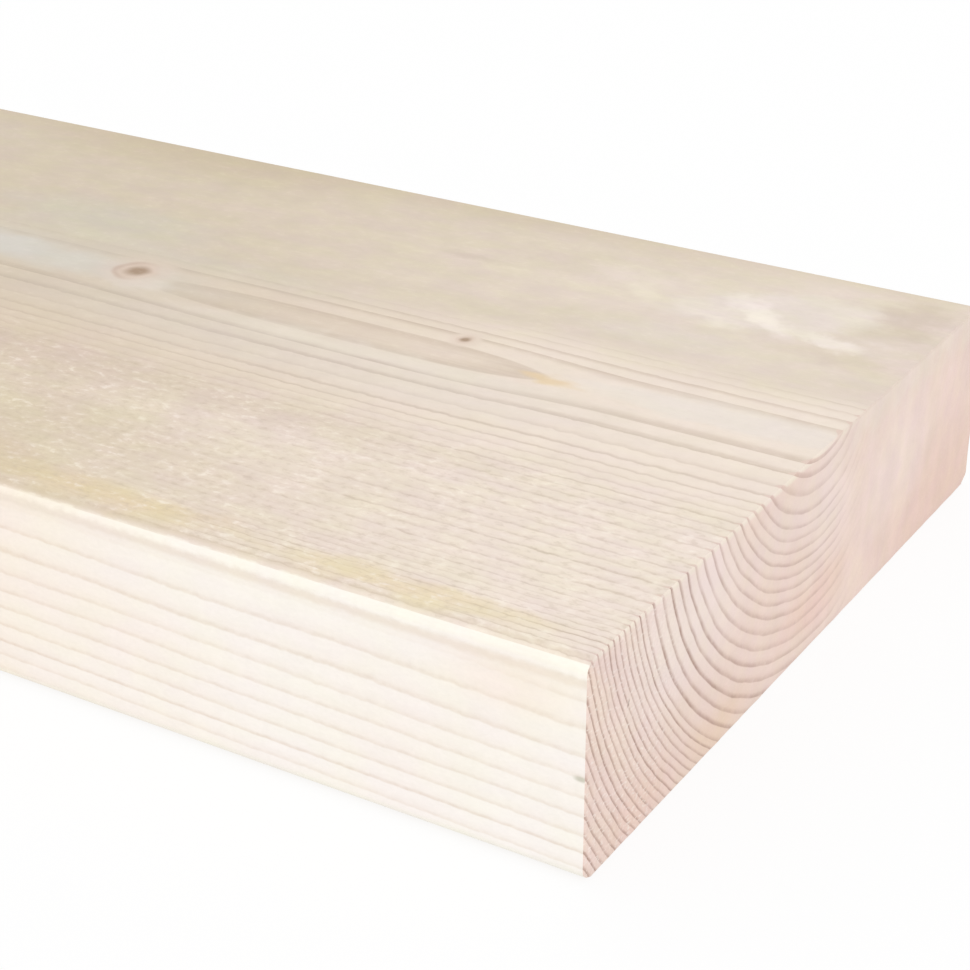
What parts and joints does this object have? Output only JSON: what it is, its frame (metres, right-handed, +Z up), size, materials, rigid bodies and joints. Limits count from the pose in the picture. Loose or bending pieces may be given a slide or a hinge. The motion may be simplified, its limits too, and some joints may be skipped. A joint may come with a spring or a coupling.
{
  "type": "timber plank",
  "caption": "Sawn softwood plank of rectangular section with eased long edges and square-cut ends, lying flat, for joists, rafters, treads and general carcassing.",
  "frame": {"origin": "middle of the bottom broad face", "axes": "+X along the length towards the end that the picture shows, +Y across the width away from the edge that the picture shows, +Z up"},
  "size_m": [2.4, 0.195, 0.047],
  "materials": {
    "sawn_timber": "sawn and bare, pale cream with brown-grey growth rings and small brown knots"
  },
  "bodies": {
    "root": {"plank": "sawn_timber"}
  },
  "joints": []
}
